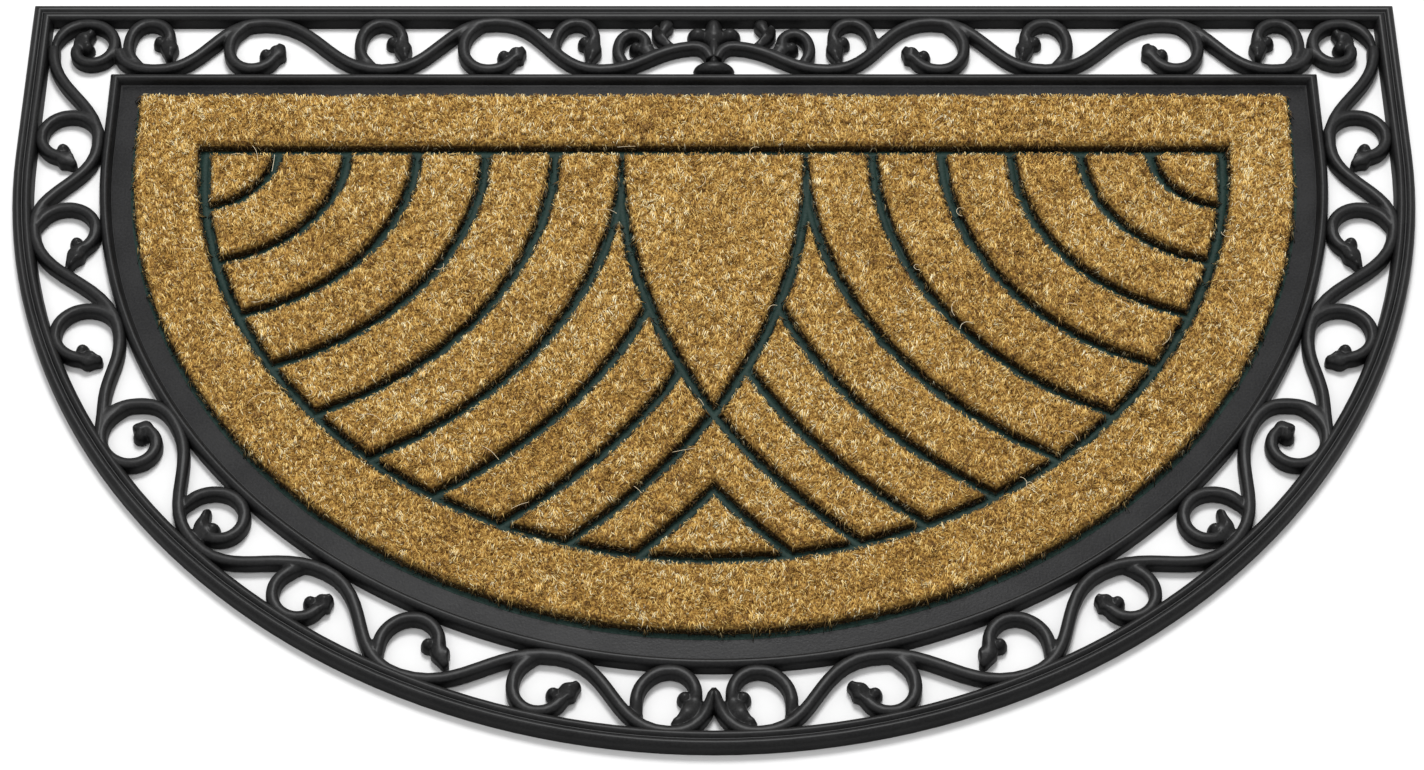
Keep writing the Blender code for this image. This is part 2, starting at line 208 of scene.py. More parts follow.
def build_painted_shade():
    """Painted shade: from Floor at the height Low, metres above the ground, to 1 at the height
    High.
    """
    inputs = [("Low", 0.0045), ("High", 0.0135), ("Floor", 0.05)]
    group, given, result = new_group("Painted shade in the pile", inputs, ["Value"])
    place_on = group.nodes.new("ShaderNodeTexCoord")
    parts = group.nodes.new("ShaderNodeSeparateXYZ")
    ramp = group.nodes.new("ShaderNodeMapRange")
    ramp.interpolation_type = "SMOOTHSTEP"
    group.links.new(place_on.outputs["Object"], parts.inputs["Vector"])
    group.links.new(parts.outputs["Z"], ramp.inputs["Value"])
    for setting, socket in (("Low", "From Min"), ("High", "From Max"), ("Floor", "To Min")):
        group.links.new(given.outputs[setting], ramp.inputs[socket])
    group.links.new(ramp.outputs["Result"], result.inputs["Value"])
    return group


patches_group = build_patches()
grain_group = build_grain()
painted_shade_group = build_painted_shade()
print("groups:", patches_group.name, "-", grain_group.name, "-", painted_shade_group.name)

# %% [markdown]
# ## Rubber finishes
#
# The rubber is charcoal black with a dull sheen. Its tone drifts in broad patches and fine specks,
# and it has a very fine grain. The smooth apron round the coir shines a little more, and the bed
# and the ribs in the grooves are dark green. One function makes all three from a row of a table.

# %% Make the rubber materials
RUBBER_PATCHES = {"Scale": 45.0, "Strength": 1.2}
RUBBER_SPECKS = {"Scale": 900.0, "Strength": 1.8}
RUBBER_GRAIN = {"Scale": 800.0}
DARK_END, LIGHT_END = 0.2, 0.8  # where the drifting tone reaches the dark and the light colour
# name, dark and light colour, roughness, shine, height of the grain in metres
RUBBERS = (
    ("rubber", (0.004, 0.004, 0.0042), (0.011, 0.011, 0.0112), 0.42, 0.20, 0.00008),
    ("apron_rubber", (0.003, 0.003, 0.0035), (0.013, 0.013, 0.0135), 0.37, 0.30, 0.00016),
    ("groove_rubber", (0.006, 0.020, 0.016), (0.014, 0.034, 0.028), 0.6, 0.15, 0.00012),
)


def new_finish(name, roughness, shine=0.5):
    """A new material with this roughness and shine, its node tree and its shader."""
    material = bpy.data.materials.new(name)
    material.use_nodes = True
    shader = material.node_tree.nodes["Principled BSDF"]
    shader.inputs["Roughness"].default_value = roughness
    shader.inputs["Specular IOR Level"].default_value = shine
    return material, material.node_tree, shader


def use_group(tree, group, **values):
    node = tree.nodes.new("ShaderNodeGroup")
    node.node_tree = group
    for socket, value in values.items():
        node.inputs[socket].default_value = value
    return node


def ramp_colour(tree, value, stops):
    """The colour for a value from a table of positions and colours."""
    ramp = tree.nodes.new("ShaderNodeValToRGB")
    elements = ramp.color_ramp.elements
    while len(elements) < len(stops):
        elements.new(0.5)
    for element, (position, colour) in zip(elements, stops):
        element.position = position
        element.color = (*colour, 1.0)
    tree.links.new(value, ramp.inputs["Fac"])
    return ramp.outputs["Color"]


def add_bump(tree, shader, height, distance, strength):
    bump = tree.nodes.new("ShaderNodeBump")
    bump.inputs["Strength"].default_value = strength
    bump.inputs["Distance"].default_value = distance
    tree.links.new(height, bump.inputs["Height"])
    tree.links.new(bump.outputs["Normal"], shader.inputs["Normal"])


def rubber_finish(name, dark, light, roughness, shine, grain_height):
    """Moulded rubber whose colour drifts between dark and light over the surface."""
    material, tree, shader = new_finish(name, roughness, shine)
    patches = use_group(tree, patches_group, **RUBBER_PATCHES)
    specks = use_group(tree, patches_group, **RUBBER_SPECKS)
    shift = math_node(tree, "SUBTRACT", specks.outputs["Value"], 0.5)
    tone = math_node(tree, "ADD", patches.outputs["Value"], shift)
    colour = ramp_colour(tree, tone, ((DARK_END, dark), (LIGHT_END, light)))
    tree.links.new(colour, shader.inputs["Base Color"])
    grain = use_group(tree, grain_group, **RUBBER_GRAIN)
    add_bump(tree, shader, grain.outputs["Height"], grain_height, strength=0.5)
    return material


rubber, apron_rubber, groove_rubber = (rubber_finish(*row) for row in RUBBERS)
print("rubber finishes:", rubber.name, apron_rubber.name, groove_rubber.name)

# %% [markdown]
# ## The half round forms
#
# The rim and the tray share one outline: a straight edge, two short straight sides and a half
# ellipse. It could be drawn as a curve. Here a circle is stretched to the ellipse, halved, and its
# straight edge is drawn out, because the face that this leaves can be raised and inset step by
# step, and an inset keeps the mitred corners true.


# %% Shape a half round face and raise it along a profile
ROUND_STEPS = 96
TOUCHING = 0.01  # closer than this counts as the same place


def half_round_plate(name, half_width, top, bottom):
    """A flat D-shaped face on the floor, pointing up."""
    start_with_nothing_selected()
    bpy.ops.mesh.primitive_circle_add(
        vertices=2 * ROUND_STEPS, radius=1.0, fill_type="NGON", location=(0, 0, 0)
    )
    plate = bpy.context.object
    plate.name = name
    edit(plate)
    depth = (bottom - SIDE_END) * MM
    bpy.ops.transform.resize(value=(half_width * MM, depth, 1.0), center_override=(0, 0, 0))
    bpy.ops.mesh.bisect(plane_co=(0, 0, 0), plane_no=(0, 1, 0), clear_outer=True)
    bpy.ops.mesh.select_all(action="SELECT")
    side_end = place(0, SIDE_END)[1]
    bpy.ops.transform.translate(value=(0, side_end, 0))
    bpy.ops.mesh.select_mode(type="EDGE")
    stop_editing()
    for vert in plate.data.vertices:
        vert.select = abs(vert.co.y - side_end) < TOUCHING * MM
    for edge in plate.data.edges:
        edge.select = all(plate.data.vertices[k].select for k in edge.vertices)
    for face in plate.data.polygons:
        face.select = False
    bpy.ops.object.mode_set(mode="EDIT")
    bpy.ops.mesh.extrude_edges_move(
        TRANSFORM_OT_translate={"value": (0, place(0, top)[1] - side_end, 0)}
    )
    bpy.ops.mesh.select_all(action="SELECT")
    bpy.ops.mesh.dissolve_faces()
    stop_editing()
    if plate.data.polygons[0].normal.z < 0:
        bpy.ops.object.mode_set(mode="EDIT")
        bpy.ops.mesh.flip_normals()
        stop_editing()
    return plate


def raise_along(plate, profile):
    """Raises the face through a table of (distance in from the edge, height), both in mm."""
    edit(plate)
    bpy.ops.mesh.select_mode(type="FACE")
    bpy.ops.mesh.select_all(action="SELECT")
    inward, height = 0.0, 0.0
    for next_inward, next_height in profile:
        step, rise = (next_inward - inward) * MM, (next_height - height) * MM
        if step == 0.0:
            bpy.ops.mesh.extrude_region_move(TRANSFORM_OT_translate={"value": (0, 0, rise)})
        else:
            bpy.ops.mesh.inset(thickness=step, depth=rise, use_even_offset=True)
        inward, height = next_inward, next_height
    return plate


def finish_form(piece, materials, angle=35):
    """Outward faces, soft shading up to the given angle, and the piece's materials."""
    edit(piece)
    bpy.ops.mesh.normals_make_consistent(inside=False)
    stop_editing()
    bpy.ops.object.shade_smooth_by_angle(angle=radians(angle))
    give(piece, *materials)


def triangles_of(piece):
    piece.data.calc_loop_triangles()
    return len(piece.data.loop_triangles)


print(f"the round edge has {ROUND_STEPS} steps")

# %% [markdown]
# ## Rim
#
# The rim is a frame 11 mm wide with two rounded ridges and a channel between them. The face is
# raised along the outer ridge, the channel and the inner ridge, and goes down to the floor again.
# Then the faces inside it and under it are deleted and the two open edges are bridged, which makes
# a closed ring.

# %% Model the rim
RIM_PROFILE = (
    (0.0, 6.0),
    (0.5, 7.5),
    (1.2, 8.5),
    (2.0, 9.05),
    (2.8, 9.2),
    (3.6, 9.0),
    (4.4, 8.4),
    (5.0, 7.8),
    (5.4, 7.75),
    (5.9, 8.3),
    (6.5, 8.9),
    (7.4, 9.2),
    (8.4, 9.0),
    (9.4, 8.2),
    (10.1, 7.1),
    (10.4, 6.0),
    (10.9, 0.0),
)

rim = raise_along(half_round_plate("rubber_rim", MAT_WIDTH / 2, 0.0, MAT_DEPTH), RIM_PROFILE)
bpy.ops.mesh.delete(type="FACE")
bpy.ops.object.mode_set(mode="OBJECT")
for face in rim.data.polygons:
    face.select = face.normal.z < -0.5
bpy.ops.object.mode_set(mode="EDIT")
bpy.ops.mesh.delete(type="FACE")
bpy.ops.mesh.select_mode(type="EDGE")
bpy.ops.mesh.select_non_manifold(extend=False)
bpy.ops.mesh.bridge_edge_loops()
finish_form(rim, [rubber])
print(f"rim: {triangles_of(rim)} triangles")

# %% [markdown]
# ## Rail and tray
#
# Inside the scroll border runs a rounded rail, then a narrow channel, then the smooth apron, which
# carries on under the coir as the floor of the tray. It is the same kind of face, raised along a
# shorter profile. The faces inside the rail take the apron's finish.

# %% Model the rail and the tray
RAIL_PROFILE = (
    (0.0, 5.4),
    (0.6, 6.8),
    (1.4, 7.9),
    (2.4, 8.5),
    (3.4, 8.6),
    (4.3, 8.1),
    (5.1, 7.0),
    (5.7, 5.5),
    (6.3, 4.2),
    (6.9, 4.2),
    (7.6, TRAY_HEIGHT),
)

tray = raise_along(
    half_round_plate("rubber_tray", RAIL_HALF_WIDTH, RAIL_TOP, RAIL_BOTTOM), RAIL_PROFILE
)
finish_form(tray, [rubber, apron_rubber])
APRON_REACH = 0.25  # a flat face this near to the tray's height belongs to the apron
for face in tray.data.polygons:
    at_top = abs(face.center.z - TRAY_HEIGHT * MM) < APRON_REACH * MM and face.normal.z > 0.7
    face.material_index = 1 if at_top else 0
print(f"tray: {triangles_of(tray)} triangles")

# %% [markdown]
# ## Bed under the coir
#
# The coir is bonded into a thin bed of dark green rubber, which peeps out round the edge of the
# pile and between the panels. It is one more half round face, raised by a third of a millimetre and
# sunk a little into the tray.

# %% Model the bed
BED_HALF_WIDTH = 317.2
BED_TOP = 64.4
BED_BOTTOM = 407.4
BED_PROFILE = ((0.0, 0.2), (0.4, 0.35))
BED_SINK = 0.05

bed = raise_along(half_round_plate("rubber_bed", BED_HALF_WIDTH, BED_TOP, BED_BOTTOM), BED_PROFILE)
bpy.ops.mesh.select_all(action="SELECT")
bpy.ops.transform.translate(value=(0, 0, (TRAY_HEIGHT - BED_SINK) * MM))
finish_form(bed, [groove_rubber])
print(f"bed: {triangles_of(bed)} triangles")

# %% [markdown]
# ## Rods of the scroll border
#
# The border is a vine that waves between rim and rail, with a curl in each bend. Every curl ends in
# a fat pointed leaf and a small round bud. A rod is a curve with a rounded section drawn along it,
# made a mesh afterwards. The vine's table gives points and headings, as the handles of a curve
# would, and a curl's table gives its middle, its angles and its radii.

# %% Describe the left half of the scroll
TOP_VINE = (
    (-331.5, 31.0, -78),
    (-309.5, 44.5, 0),
    (-251.0, 11.2, 0),
    (-184.0, 44.5, 0),
    (-121.5, 10.5, 0),
    (-63.0, 44.5, 0),
    (-12.0, 28.0, 5),
    (-1.5, 37.0, -75),
)
SIDE_VINE = (
    (-367.4, 29.0, -90),
    (-337.0, 98.0, -92),
    (-366.3, 153.0, -84),
    (-315.0, 219.0, -76),
    (-318.5, 268.0, -88),
    (-318.2, 288.0, -86),
)
LOWER_VINE = (
    (-317.6, 281.0, 86),
    (-301.0, 266.5, 4),
    (-281.0, 277.0, -58),
    (-264.5, 351.5, -48),
    (-197.0, 367.5, -28),
    (-157.0, 427.5, -20),
    (-78.0, 417.0, -10),
    (-22.5, 460.0, -3),
    (0.0, 436.0, 80),
)
BRANCHES = (
    ((-24.0, 27.5, 150), (-33.0, 15.0, 120)),
    ((-29.0, 20.0, 80), (-25.5, 9.5, 85)),
)
# name, centre x and y, start angle and sweep in degrees, radii over the sweep, leaf tip x and y
CURLS = (
    ("corner", -348.9, 28.5, 190, -360, (18.6, 16.5, 15.3, 11.5, 5.5), (-346.0, 17.5)),
    ("top_1", -313.7, 25.2, -90, -260, (18.5, 12.2, 13.8, 10.5), (-302.5, 38.0)),
    ("top_2", -255.7, 29.5, 90, 240, (17.5, 14.0, 14.5, 13.0), (-240.2, 26.5)),
    ("top_3", -184.4, 25.5, -90, -260, (18.5, 12.5, 14.0, 11.0), (-171.4, 38.5)),
    ("top_4", -125.0, 29.5, 90, 240, (18.5, 14.5, 15.0, 15.0), (-105.0, 30.0)),
    ("top_5", -77.0, 25.5, -128, -222, (12.6, 11.6, 14.4, 10.5), (-70.0, 41.0)),
    ("top_6", -44.3, 28.6, -100, -250, (12.9, 8.8, 9.5, 6.5), (-32.8, 32.6)),
    ("side_1", -353.3, 92.5, -20, 270, (17.0, 16.0, 15.2, 12.8), (-348.0, 111.0)),
    ("side_2", -348.3, 156.5, 180, -225, (17.5, 17.0, 16.2, 14.0), (-345.5, 179.0)),
    ("side_3", -331.0, 222.5, -10, 270, (17.0, 16.2, 17.2, 15.2), (-321.5, 239.0)),
    ("side_4", -300.0, 286.5, 90, 290, (19.5, 18.0, 16.5, 8.0), (-302.0, 281.0)),
    ("lower_1", -254.5, 337.0, 170, -275, (19.5, 16.5, 15.0, 13.5, 11.0), (-258.5, 331.0)),
    ("lower_2", -207.7, 382.0, 90, 230, (16.2, 15.5, 13.5, 11.0), (-192.2, 383.0)),
    ("lower_3", -151.5, 410.0, -150, -210, (17.5, 15.2, 15.0, 14.0), (-133.5, 423.0)),
    ("lower_4", -85.6, 434.0, 90, 235, (17.0, 14.8, 15.0, 12.5), (-66.6, 432.8)),
    ("lower_5", -21.7, 440.5, -143, -217, (18.2, 15.6, 15.0, 12.6), (-20.8, 456.0)),
)


def wave(knots, steps=12, reach=0.42):
    """Points of a rod through its knots (x, y, heading), each span a curve with two handles."""
    points = []
    for (x0, y0, turn0), (x1, y1, turn1) in zip(knots, knots[1:]):
        pull = reach * hypot(x1 - x0, y1 - y0)
        a, b = radians(turn0), radians(turn1)
        t = np.linspace(0.0, 1.0, steps + 1)[1 if points else 0 :, None]
        ends = np.array([(x0, y0), (x1, y1)])
        handles = np.array(
            [
                (x0 + pull * cos(a), y0 - pull * sin(a)),
                (x1 - pull * cos(b), y1 + pull * sin(b)),
            ]
        )
        span = (1 - t) ** 3 * ends[0] + 3 * t * (1 - t) ** 2 * handles[0]
        span = span + 3 * t**2 * (1 - t) * handles[1] + t**3 * ends[1]
        points.extend(map(tuple, span))
    return points


def radius_at(radii, t):
    """The curl's radius at t from 0 to 1, on a smooth curve through the radii."""
    place_in = t * (len(radii) - 1)
    k = min(int(place_in), len(radii) - 2)
    u = place_in - k
    b, c = radii[k], radii[k + 1]
    a = radii[k - 1] if k else 2 * b - c
    d = radii[k + 2] if k + 2 < len(radii) else 2 * c - b
    return 0.5 * (
        2 * b + (c - a) * u + (2 * a - 5 * b + 4 * c - d) * u * u + (3 * b - a - 3 * c + d) * u**3
    )


def curl(centre_x, centre_y, start, sweep, radii, steps=36):
    points = []
    for t in np.linspace(0.0, 1.0, steps + 1):
        radius, angle = radius_at(radii, t), radians(start + sweep * t)
        points.append((centre_x + radius * cos(angle), centre_y - radius * sin(angle)))
    return points


print(f"{len(CURLS)} curls on each half")


# %% Draw one rod as a curve and make it a mesh
WALL_SHARE = 0.6  # of a rod's height, up to where its arch begins
ARCH_FULLNESS = 0.8  # below 1 the arch is fuller than an ellipse


def line_curve(name, dimensions, points):
    """A curve of straight steps through the points, given in metres."""
    curve = bpy.data.curves.new(name, "CURVE")
    curve.dimensions = dimensions
    spline = curve.splines.new("POLY")
    spline.points.add(len(points) - 1)
    for knot, point in zip(spline.points, points):
        knot.co = (*point, 1.0)
    return curve, spline


def rod_section(width, height, arch_steps=8):
    """A bar's outline: upright walls, then an arch."""
    wall = WALL_SHARE * height
    points = [(width / 2, 0.0)]
    for step in range(arch_steps + 1):
        angle = pi * step / arch_steps
        rise = (height - wall) * sin(angle) ** ARCH_FULLNESS
        points.append((width / 2 * cos(angle), wall + rise))
    points.append((-width / 2, 0.0))
    outline = [(across * MM, up * MM, 0.0) for across, up in points]
    curve, spline = line_curve("rod_section", "2D", outline)
    spline.use_cyclic_u = True
    return add_object("rod_section", curve)


def draw_rod(name, points, section, widths=None, heights=None, lift=ROD_LIFT):
    """A mesh rod along the points, its section made wider and higher by two lists of factors."""
    curve, spline = line_curve(name, "2D", [place(x, y) for x, y in points])
    curve.fill_mode = "NONE"
    curve.bevel_mode = "OBJECT"
    curve.bevel_object = section
    curve.use_fill_caps = True
    for k, width in enumerate(widths or ()):
        spline.points[k].radius = width
    pick(add_object(name, curve))
    bpy.ops.object.convert(target="MESH")
    rod = bpy.context.object
    edit(rod)
    bpy.ops.mesh.remove_doubles(threshold=0.000001)
    stop_editing()
    if heights:
        ring = len(rod.data.vertices) // len(points)
        for k, vert in enumerate(rod.data.vertices):
            vert.co.z *= heights[k // ring] / widths[k // ring]
    rod.location.z = lift * MM
    bpy.ops.object.transform_apply(location=True, rotation=True, scale=True)
    return rod


rod_shape = rod_section(ROD_WIDTH, ROD_HEIGHT - ROD_LIFT)
print(f"rods are {ROD_WIDTH} mm wide and {ROD_HEIGHT} mm high")

# %% [markdown]
# ## Curls, leaves and buds
#
# A curl grows out of the vine, so it starts thin and low inside it. Its far end swells into a leaf
# and runs out to a point: the same rod goes on, with a width and a height for each point. A bud is
# the upper half of a small flattened ball on the inner side.

# %% Draw curls, leaves and buds
ROOT_WIDTHS = (0.45, 0.6, 0.75, 0.88, 0.96)
ROOT_HEIGHTS = (0.7, 0.8, 0.9, 0.96, 1.0)
LEAF_WIDTHS = (1.08, 1.25, 1.42, 1.52, 1.5, 1.36, 1.14, 0.94, 0.8, 0.68, 0.45)
LEAF_HEIGHTS = (1.0, 1.0, 1.0, 1.0, 1.0, 0.98, 0.95, 0.92, 0.88, 0.82, 0.7)
LEAF_BEND = 0.45
BUD_RADIUS = 4.2
BUD_TOP = 8.6
BUD_REACH = 5.5  # from the end of a curl towards its middle
NOSE_WIDTHS = [1.0, 0.98, 0.9, 0.78, 0.62]  # the lower vine draws in to its end in the middle
BRANCH_WIDTHS = (0.7, 0.8, 0.95, 1.1, 1.15, 0.6)
BRANCH_HEIGHTS = (0.85, 0.95, 1.0, 1.0, 0.95, 0.8)


def leaf_line(line, tip):
    """Points that carry a curl's line on to the leaf's tip without a kink."""
    end, before = np.array(line[-1]), np.array(line[-2])
    heading = (end - before) / np.linalg.norm(end - before)
    bend = end + heading * LEAF_BEND * np.linalg.norm(np.array(tip) - end)
    t = np.linspace(0.0, 1.0, len(LEAF_WIDTHS) + 1)[1:, None]
    return list(map(tuple, (1 - t) ** 2 * end + 2 * t * (1 - t) * bend + t**2 * np.array(tip)))


def draw_curl(name, line, tip, section):
    plain = len(line) - len(ROOT_WIDTHS)
    widths = (*ROOT_WIDTHS, *[1.0] * plain, *LEAF_WIDTHS)
    heights = (*ROOT_HEIGHTS, *[1.0] * plain, *LEAF_HEIGHTS)
    return draw_rod(name, line + leaf_line(line, tip), section, widths, heights)


def draw_knob(name, x, y, half_length, half_width, top):
    """A flattened ball round the point, its lower half closed off flat at the rods' foot."""
    start_with_nothing_selected()
    bpy.ops.mesh.primitive_uv_sphere_add(segments=16, ring_count=10, radius=1.0)
    knob = bpy.context.object
    knob.name = name
    height = (top - ROD_LIFT) * MM
    edit(knob)
    bpy.ops.mesh.bisect(
        plane_co=(0, 0, 0), plane_no=(0, 0, 1), use_fill=True, clear_inner=True
    )
    bpy.ops.mesh.select_all(action="SELECT")
    bpy.ops.transform.resize(
        value=(half_length * MM, half_width * MM, height), center_override=(0, 0, 0)
    )
    bpy.ops.transform.translate(value=place(x, y, ROD_LIFT))
    stop_editing()
    return knob


def join(pieces, name):
    """Joins the pieces into the first one, at the origin."""
    pick(pieces[0])
    for piece in pieces:
        piece.select_set(True)
    bpy.ops.object.join()
    pieces[0].name = name
    pieces[0].data.name = name
    return pieces[0]


scroll_rods = []
for part, knots in (("top", TOP_VINE), ("side", SIDE_VINE), ("lower", LOWER_VINE)):
    line = wave(knots)
    widths = [1.0] * len(line)
    if part == "lower":
        widths[-len(NOSE_WIDTHS) :] = NOSE_WIDTHS
    scroll_rods.append(draw_rod(f"vine_{part}", line, rod_shape, widths, [1.0] * len(line)))
for name, x, y, start, sweep, radii, tip in CURLS:
    line = curl(x, y, start, sweep, radii)
    scroll_rods.append(draw_curl(f"curl_{name}", line, tip, rod_shape))
    end_x, end_y = line[-1]
    inward = BUD_REACH / hypot(x - end_x, y - end_y)
    bud = (end_x + inward * (x - end_x), end_y + inward * (y - end_y))
    scroll_rods.append(draw_knob(f"bud_{name}", *bud, BUD_RADIUS, BUD_RADIUS, BUD_TOP))
for k, knots in enumerate(BRANCHES):
    line = wave(knots, steps=len(BRANCH_WIDTHS) - 1)
    scroll_rods.append(draw_rod(f"branch_{k}", line, rod_shape, BRANCH_WIDTHS, BRANCH_HEIGHTS))
print(f"{len(scroll_rods)} rods, curls and buds on the left half")

# %% [markdown]
# ## Both halves of the scroll
#
# In the moulding the rods flow into each other. So the joined left half is wrapped in one new skin
# by a voxel remesh, smoothed a little, which fills the corners where rods meet, and thinned out.
# The two halves are mirror images: the left one is copied and the copy is flipped across the middle
# line. Flipping turns a mesh inside out, so its faces are turned outwards again.

# %% Join the left half and mirror it
SKIN_VOXEL = 0.00055  # metres
SKIN_SMOOTHING = 5
SCROLL_TRIANGLES = 38000
SOFT_ANGLE = 60  # faces that meet at less than this shade as one


def add_modifier(piece, kind, **settings):
    """Adds a modifier and applies it at once."""
    modifier = piece.modifiers.new(kind.lower(), kind)
    for setting, value in settings.items():
        setattr(modifier, setting, value)
    pick(piece)
    bpy.ops.object.modifier_apply(modifier=modifier.name)


def one_skin(piece, triangles):
    """Merges the overlapping rods into one closed skin with soft corners."""
    add_modifier(piece, "REMESH", mode="VOXEL", voxel_size=SKIN_VOXEL)
    add_modifier(piece, "SMOOTH", factor=0.5, iterations=SKIN_SMOOTHING)
    add_modifier(piece, "DECIMATE", ratio=triangles / triangles_of(piece))
    return piece


scroll_left = one_skin(join(scroll_rods, "scroll_left"), SCROLL_TRIANGLES)
finish_form(scroll_left, [rubber], SOFT_ANGLE)

pick(scroll_left)
bpy.ops.object.duplicate()
scroll_right = bpy.context.object
scroll_right.name = "scroll_right"
edit(scroll_right)
bpy.ops.transform.resize(value=(-1.0, 1.0, 1.0), center_override=(0, 0, 0))
finish_form(scroll_right, [rubber], SOFT_ANGLE)
print(f"scroll halves: {triangles_of(scroll_left)} triangles each")

# %% [markdown]
# ## Crest
#
# In the middle of the straight edge the two vines meet at a small crest: a pointed tip on a round
# body between two shoulders, a stem below it, and an oval foot on the rail. All of them are the
# same flattened ball in other sizes.

# %% Model the crest
CREST_TRIANGLES = 3000
# name, x and y, half length, half width, height above the floor
CREST = (
    ("crest_tip", 0.0, 15.5, 5.2, 9.6, 9.0),
    ("crest_body", 0.0, 19.5, 7.2, 7.6, 8.8),
    ("crest_left", -9.0, 19.0, 6.2, 5.2, 8.6),
    ("crest_right", 9.0, 19.0, 6.2, 5.2, 8.6),
    ("crest_stem", 0.0, 31.0, 4.4, 12.6, 8.6),
    ("crest_foot", 0.0, 42.6, 11.8, 5.2, 8.8),
)

crest = one_skin(join([draw_knob(*row) for row in CREST], "crest"), CREST_TRIANGLES)
finish_form(crest, [rubber], SOFT_ANGLE)
bpy.data.objects.remove(rod_shape)
print(f"crest: {triangles_of(crest)} triangles")

# %% [markdown]
# ## Ribs in the grooves
#
# Between the panels the rubber shows as a low rounded rib of dark green. Its lines are the same
# rings that cut the panels: arcs round each corner of the field, the straight line above them and
# the half ellipse round all of it. Each is drawn as a low rod along the middle of its groove.


# %% Draw the ribs
RIB_WIDTH = 3.8
RIB_HEIGHT = 1.3
RIB_SOFT_ANGLE = 50
EDGE_STEPS = 96  # of the half ellipse


def ring_point(radius, angle, corner_side=-1):
    """A point on a ring of the left (-1) or right (1) fan, its angle counted from the top line."""
    across = FIELD_HALF_WIDTH - radius * cos(angle)
    return corner_side * across, FIELD_TOP + RING_FLATTENING * radius * sin(angle)


def turning_angle(inside, low, high, halvings=40):
    """The angle between low and high where inside turns from true to false."""
    for _ in range(halvings):
        middle = (low + high) / 2
        low, high = (middle, high) if inside(middle) else (low, middle)
    return low


def in_field(point):
    depth = FIELD_BOTTOM - FIELD_TOP
    return (point[0] / FIELD_HALF_WIDTH) ** 2 + ((point[1] - FIELD_TOP) / depth) ** 2 <= 1.0


def outside_petal(point):
    across = point[0] - FIELD_HALF_WIDTH
    return hypot(across, (point[1] - FIELD_TOP) / RING_FLATTENING) > RING_RADII[PETAL_RING]


def ring_line(number, steps=28):
    """The left fan's ring from where it starts to the field's edge.

    The two rings before the petal's start at the petal, the one after it at the middle line, and
    the others at the top line.
    """
    radius = RING_RADII[number]
    last = turning_angle(lambda a: in_field(ring_point(radius, a)), 0.0, pi / 2)
    first = 0.0
    if number in (PETAL_RING - 2, PETAL_RING - 1):
        first = turning_angle(lambda a: not outside_petal(ring_point(radius, a)), 0.0, last)
    if number == PETAL_RING + 1:
        first = turning_angle(lambda a: ring_point(radius, a)[0] > 0.0, 0.0, last)
    return [ring_point(radius, first + (last - first) * k / steps) for k in range(steps + 1)]


rib_shape = rod_section(RIB_WIDTH, RIB_HEIGHT, arch_steps=4)
edge_line = [
    (FIELD_HALF_WIDTH * cos(turn), FIELD_TOP + (FIELD_BOTTOM - FIELD_TOP) * sin(turn))
    for turn in (pi * k / EDGE_STEPS for k in range(EDGE_STEPS + 1))
]
top_line = [(-FIELD_HALF_WIDTH, FIELD_TOP), (0.0, FIELD_TOP), (FIELD_HALF_WIDTH, FIELD_TOP)]
rib_lines = [edge_line, top_line]
for number in range(len(RING_RADII)):
    line = ring_line(number)
    rib_lines += [line, [(-x, y) for x, y in line]]
ribs = join(
    [draw_rod(f"rib_{k}", line, rib_shape, lift=TRAY_HEIGHT) for k, line in enumerate(rib_lines)],
    "groove_ribs",
)
finish_form(ribs, [groove_rubber], RIB_SOFT_ANGLE)
bpy.data.objects.remove(rib_shape)
print(f"ribs: {len(rib_lines)} lines, {triangles_of(ribs)} triangles")

# %% [markdown]
# ## Coir finishes
#
# Coir is the husk fibre of the coconut: stiff, matt, and mixed in tone from dark brown through gold
# to pale straw. Two numbers are stored in the mesh of the fibres: a tone, one for each fibre, and
# how near a point is to the fibre's tip. A colour ramp turns the tone into a colour, broad patches
# shift it, and painted shade darkens it towards the root and down in the pile. The same ramp with
# small noise instead of the stored tone finishes the body of the pile under the fibres, with the
# same painted shade lower down.

# %% Make the coir materials
COIR_TONES = (
    (0.00, (0.12, 0.050, 0.010)),
    (0.22, (0.36, 0.190, 0.040)),
    (0.50, (0.72, 0.440, 0.110)),
    (0.78, (0.93, 0.680, 0.240)),
    (1.00, (0.98, 0.900, 0.620)),
)
FIBRE_PATCHES = {"Scale": 30.0, "Strength": 0.7}
# Painted shade: the next three rows darken the fibres towards their roots, and the fibres and the
# body lower in the pile.
PAINTED_ROOT_SHADE = 0.55  # how light a fibre is at its root, where its tip is 1
FIBRE_PAINTED_SHADE = {"Low": 0.0075, "High": 0.0138, "Floor": 0.13}
BODY_PAINTED_SHADE = {"Low": 0.007, "High": 0.0150, "Floor": 0.07}
STREAK_SCALE = 700.0
STREAK_LOW, STREAK_GAIN = 0.33, 1.6  # stretch the noise over the ramp
STREAK_HEIGHT = 0.0008
LOOSE_PATCHES = {"Scale": 90.0, "Strength": 1.5}
LOOSE_TONES = ((0.0, (0.62, 0.44, 0.20)), (1.0, (0.92, 0.86, 0.68)))


def darkened(tree, colour, amount):
    """The colour times amount, a socket that runs from 0 to 1."""
    mix = tree.nodes.new("ShaderNodeMix")
    mix.data_type = "RGBA"
    mix.blend_type = "MULTIPLY"
    mix.inputs["Factor"].default_value = 1.0
    tree.links.new(colour, mix.inputs["A"])
    tree.links.new(amount, mix.inputs["B"])
    return mix.outputs["Result"]


